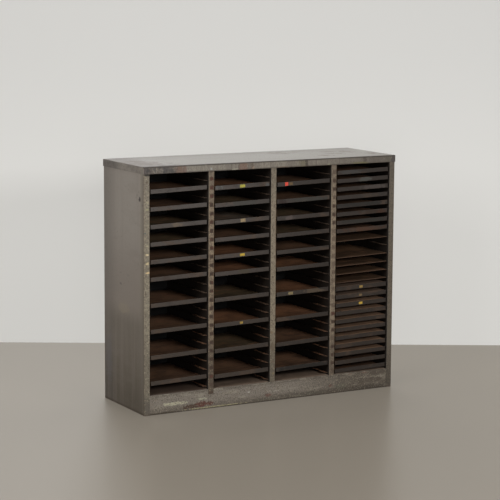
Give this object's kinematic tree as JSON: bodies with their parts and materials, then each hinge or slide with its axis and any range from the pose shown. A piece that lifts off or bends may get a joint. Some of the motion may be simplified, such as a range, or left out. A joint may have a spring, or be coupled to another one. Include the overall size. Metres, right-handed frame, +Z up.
{
  "type": "pigeonhole mail sorter",
  "caption": "Free-standing steel pigeonhole cabinet for sorting mail: open bays with slotted runners and lipped slide-in metal shelves, on a plinth.",
  "frame": {"origin": "on the floor under the middle of the cabinet (bounding-box bottom centre)", "axes": "+X along the front from left to right, +Y from the open front to the back, +Z up"},
  "size_m": [1.07, 0.345, 0.905],
  "materials": {
    "cap_enamel": "worn grey enamel with bare and rusty patches",
    "side_enamel": "satin grey-brown enamel, faintly streaked",
    "stile_enamel": "chipped cream-grey enamel with rust specks",
    "plinth_enamel": "speckled worn grey enamel",
    "bay_enamel": "dark rust-brown enamel",
    "back_enamel": "satin grey-brown enamel",
    "shelf_enamel": "dark grey enamel, rust brown on top",
    "screw_steel": "dull steel",
    "label_card": "aged card and paper, matt"
  },
  "bodies": {
    "cabinet": {"top_cap": "cap_enamel", "left_side_panel": "side_enamel", "right_side_panel": "side_enamel", "back_panel": "back_enamel", "floor_pan": "bay_enamel", "rear_base_rail": "side_enamel", "plinth_left": "plinth_enamel", "plinth_middle": "plinth_enamel", "plinth_right": "plinth_enamel", "divider_1_stile": "stile_enamel", "divider_2_stile": "stile_enamel", "divider_3_stile": "stile_enamel", "left_liner": "bay_enamel", "divider_1_skins": "bay_enamel", "divider_2_skins": "bay_enamel", "divider_3_skins": "bay_enamel", "right_liner": "bay_enamel", "back_screws": "screw_steel"},
    "bay_1_shelf_02": {"bay_1_shelf_02": "shelf_enamel"},
    "bay_1_shelf_04": {"bay_1_shelf_04": "shelf_enamel"},
    "bay_1_shelf_06": {"bay_1_shelf_06": "shelf_enamel"},
    "bay_1_shelf_08": {"bay_1_shelf_08": "shelf_enamel"},
    "bay_1_shelf_10": {"bay_1_shelf_10": "shelf_enamel"},
    "bay_1_shelf_12": {"bay_1_shelf_12": "shelf_enamel"},
    "bay_1_shelf_15": {"bay_1_shelf_15": "shelf_enamel"},
    "bay_1_shelf_18": {"bay_1_shelf_18": "shelf_enamel"},
    "bay_1_shelf_21": {"bay_1_shelf_21": "shelf_enamel"},
    "bay_1_shelf_24": {"bay_1_shelf_24": "shelf_enamel"},
    "bay_2_shelf_02": {"bay_2_shelf_02": "shelf_enamel"},
    "bay_2_shelf_04": {"bay_2_shelf_04": "shelf_enamel"},
    "bay_2_shelf_06": {"bay_2_shelf_06": "shelf_enamel"},
    "bay_2_shelf_08": {"bay_2_shelf_08": "shelf_enamel"},
    "bay_2_shelf_10": {"bay_2_shelf_10": "shelf_enamel"},
    "bay_2_shelf_12": {"bay_2_shelf_12": "shelf_enamel"},
    "bay_2_shelf_15": {"bay_2_shelf_15": "shelf_enamel"},
    "bay_2_shelf_18": {"bay_2_shelf_18": "shelf_enamel"},
    "bay_2_shelf_21": {"bay_2_shelf_21": "shelf_enamel"},
    "bay_2_shelf_24": {"bay_2_shelf_24": "shelf_enamel"},
    "bay_3_shelf_02": {"bay_3_shelf_02": "shelf_enamel"},
    "bay_3_shelf_04": {"bay_3_shelf_04": "shelf_enamel"},
    "bay_3_shelf_06": {"bay_3_shelf_06": "shelf_enamel"},
    "bay_3_shelf_08": {"bay_3_shelf_08": "shelf_enamel"},
    "bay_3_shelf_10": {"bay_3_shelf_10": "shelf_enamel"},
    "bay_3_shelf_12": {"bay_3_shelf_12": "shelf_enamel"},
    "bay_3_shelf_15": {"bay_3_shelf_15": "shelf_enamel"},
    "bay_3_shelf_18": {"bay_3_shelf_18": "shelf_enamel"},
    "bay_3_shelf_21": {"bay_3_shelf_21": "shelf_enamel"},
    "bay_3_shelf_24": {"bay_3_shelf_24": "shelf_enamel"},
    "bay_4_shelves_01_02": {"bay_4_shelves_01_02": "shelf_enamel"},
    "bay_4_shelves_03_04": {"bay_4_shelves_03_04": "shelf_enamel"},
    "bay_4_shelves_05_06": {"bay_4_shelves_05_06": "shelf_enamel"},
    "bay_4_shelves_07_08": {"bay_4_shelves_07_08": "shelf_enamel"},
    "bay_4_shelf_09": {"bay_4_shelf_09": "shelf_enamel"},
    "bay_4_shelves_11_12": {"bay_4_shelves_11_12": "shelf_enamel"},
    "bay_4_shelves_13_14": {"bay_4_shelves_13_14": "shelf_enamel"},
    "bay_4_shelves_15_16": {"bay_4_shelves_15_16": "shelf_enamel"},
    "bay_4_shelves_17_18": {"bay_4_shelves_17_18": "shelf_enamel"},
    "bay_4_shelves_19_20": {"bay_4_shelves_19_20": "shelf_enamel"},
    "bay_4_shelves_21_22": {"bay_4_shelves_21_22": "shelf_enamel"},
    "bay_4_shelves_23_24_25": {"bay_4_shelves_23_24_25": "shelf_enamel"}
  },
  "joints": [
    {"name": "bay_1_shelf_02_slide", "type": "slide", "parent": "cabinet", "child": "bay_1_shelf_02", "axis": [0, -1, 0], "range_m": [-0.028, 0.308]},
    {"name": "bay_1_shelf_04_slide", "type": "slide", "parent": "cabinet", "child": "bay_1_shelf_04", "axis": [0, -1, 0], "range_m": [-0.028, 0.308]},
    {"name": "bay_1_shelf_06_slide", "type": "slide", "parent": "cabinet", "child": "bay_1_shelf_06", "axis": [0, -1, 0], "range_m": [-0.028, 0.308]},
    {"name": "bay_1_shelf_08_slide", "type": "slide", "parent": "cabinet", "child": "bay_1_shelf_08", "axis": [0, -1, 0], "range_m": [-0.028, 0.308]},
    {"name": "bay_1_shelf_10_slide", "type": "slide", "parent": "cabinet", "child": "bay_1_shelf_10", "axis": [0, -1, 0], "range_m": [-0.028, 0.308]},
    {"name": "bay_1_shelf_12_slide", "type": "slide", "parent": "cabinet", "child": "bay_1_shelf_12", "axis": [0, -1, 0], "range_m": [-0.028, 0.308]},
    {"name": "bay_1_shelf_15_slide", "type": "slide", "parent": "cabinet", "child": "bay_1_shelf_15", "axis": [0, -1, 0], "range_m": [-0.028, 0.308]},
    {"name": "bay_1_shelf_18_slide", "type": "slide", "parent": "cabinet", "child": "bay_1_shelf_18", "axis": [0, -1, 0], "range_m": [-0.028, 0.308]},
    {"name": "bay_1_shelf_21_slide", "type": "slide", "parent": "cabinet", "child": "bay_1_shelf_21", "axis": [0, -1, 0], "range_m": [-0.028, 0.308]},
    {"name": "bay_1_shelf_24_slide", "type": "slide", "parent": "cabinet", "child": "bay_1_shelf_24", "axis": [0, -1, 0], "range_m": [-0.028, 0.308]},
    {"name": "bay_2_shelf_02_slide", "type": "slide", "parent": "cabinet", "child": "bay_2_shelf_02", "axis": [0, -1, 0], "range_m": [-0.028, 0.308]},
    {"name": "bay_2_shelf_04_slide", "type": "slide", "parent": "cabinet", "child": "bay_2_shelf_04", "axis": [0, -1, 0], "range_m": [-0.028, 0.308]},
    {"name": "bay_2_shelf_06_slide", "type": "slide", "parent": "cabinet", "child": "bay_2_shelf_06", "axis": [0, -1, 0], "range_m": [-0.028, 0.308]},
    {"name": "bay_2_shelf_08_slide", "type": "slide", "parent": "cabinet", "child": "bay_2_shelf_08", "axis": [0, -1, 0], "range_m": [-0.028, 0.308]},
    {"name": "bay_2_shelf_10_slide", "type": "slide", "parent": "cabinet", "child": "bay_2_shelf_10", "axis": [0, -1, 0], "range_m": [-0.028, 0.308]},
    {"name": "bay_2_shelf_12_slide", "type": "slide", "parent": "cabinet", "child": "bay_2_shelf_12", "axis": [0, -1, 0], "range_m": [-0.028, 0.308]},
    {"name": "bay_2_shelf_15_slide", "type": "slide", "parent": "cabinet", "child": "bay_2_shelf_15", "axis": [0, -1, 0], "range_m": [-0.028, 0.308]},
    {"name": "bay_2_shelf_18_slide", "type": "slide", "parent": "cabinet", "child": "bay_2_shelf_18", "axis": [0, -1, 0], "range_m": [-0.028, 0.308]},
    {"name": "bay_2_shelf_21_slide", "type": "slide", "parent": "cabinet", "child": "bay_2_shelf_21", "axis": [0, -1, 0], "range_m": [-0.028, 0.308]},
    {"name": "bay_2_shelf_24_slide", "type": "slide", "parent": "cabinet", "child": "bay_2_shelf_24", "axis": [0, -1, 0], "range_m": [-0.028, 0.308]},
    {"name": "bay_3_shelf_02_slide", "type": "slide", "parent": "cabinet", "child": "bay_3_shelf_02", "axis": [0, -1, 0], "range_m": [-0.028, 0.308]},
    {"name": "bay_3_shelf_04_slide", "type": "slide", "parent": "cabinet", "child": "bay_3_shelf_04", "axis": [0, -1, 0], "range_m": [-0.028, 0.308]},
    {"name": "bay_3_shelf_06_slide", "type": "slide", "parent": "cabinet", "child": "bay_3_shelf_06", "axis": [0, -1, 0], "range_m": [-0.028, 0.308]},
    {"name": "bay_3_shelf_08_slide", "type": "slide", "parent": "cabinet", "child": "bay_3_shelf_08", "axis": [0, -1, 0], "range_m": [-0.028, 0.308]},
    {"name": "bay_3_shelf_10_slide", "type": "slide", "parent": "cabinet", "child": "bay_3_shelf_10", "axis": [0, -1, 0], "range_m": [-0.028, 0.308]},
    {"name": "bay_3_shelf_12_slide", "type": "slide", "parent": "cabinet", "child": "bay_3_shelf_12", "axis": [0, -1, 0], "range_m": [-0.028, 0.308]},
    {"name": "bay_3_shelf_15_slide", "type": "slide", "parent": "cabinet", "child": "bay_3_shelf_15", "axis": [0, -1, 0], "range_m": [-0.028, 0.308]},
    {"name": "bay_3_shelf_18_slide", "type": "slide", "parent": "cabinet", "child": "bay_3_shelf_18", "axis": [0, -1, 0], "range_m": [-0.028, 0.308]},
    {"name": "bay_3_shelf_21_slide", "type": "slide", "parent": "cabinet", "child": "bay_3_shelf_21", "axis": [0, -1, 0], "range_m": [-0.028, 0.308]},
    {"name": "bay_3_shelf_24_slide", "type": "slide", "parent": "cabinet", "child": "bay_3_shelf_24", "axis": [0, -1, 0], "range_m": [-0.028, 0.308]},
    {"name": "bay_4_shelves_01_02_slide", "type": "slide", "parent": "cabinet", "child": "bay_4_shelves_01_02", "axis": [0, -1, 0], "range_m": [-0.028, 0.308]},
    {"name": "bay_4_shelves_03_04_slide", "type": "slide", "parent": "cabinet", "child": "bay_4_shelves_03_04", "axis": [0, -1, 0], "range_m": [-0.028, 0.308]},
    {"name": "bay_4_shelves_05_06_slide", "type": "slide", "parent": "cabinet", "child": "bay_4_shelves_05_06", "axis": [0, -1, 0], "range_m": [-0.028, 0.308]},
    {"name": "bay_4_shelves_07_08_slide", "type": "slide", "parent": "cabinet", "child": "bay_4_shelves_07_08", "axis": [0, -1, 0], "range_m": [-0.028, 0.308]},
    {"name": "bay_4_shelf_09_slide", "type": "slide", "parent": "cabinet", "child": "bay_4_shelf_09", "axis": [0, -1, 0], "range_m": [-0.028, 0.308]},
    {"name": "bay_4_shelves_11_12_slide", "type": "slide", "parent": "cabinet", "child": "bay_4_shelves_11_12", "axis": [0, -1, 0], "range_m": [-0.028, 0.308]},
    {"name": "bay_4_shelves_13_14_slide", "type": "slide", "parent": "cabinet", "child": "bay_4_shelves_13_14", "axis": [0, -1, 0], "range_m": [-0.028, 0.308]},
    {"name": "bay_4_shelves_15_16_slide", "type": "slide", "parent": "cabinet", "child": "bay_4_shelves_15_16", "axis": [0, -1, 0], "range_m": [-0.028, 0.308]},
    {"name": "bay_4_shelves_17_18_slide", "type": "slide", "parent": "cabinet", "child": "bay_4_shelves_17_18", "axis": [0, -1, 0], "range_m": [-0.028, 0.308]},
    {"name": "bay_4_shelves_19_20_slide", "type": "slide", "parent": "cabinet", "child": "bay_4_shelves_19_20", "axis": [0, -1, 0], "range_m": [-0.028, 0.308]},
    {"name": "bay_4_shelves_21_22_slide", "type": "slide", "parent": "cabinet", "child": "bay_4_shelves_21_22", "axis": [0, -1, 0], "range_m": [-0.028, 0.308]},
    {"name": "bay_4_shelves_23_24_25_slide", "type": "slide", "parent": "cabinet", "child": "bay_4_shelves_23_24_25", "axis": [0, -1, 0], "range_m": [-0.028, 0.308]}
  ]
}
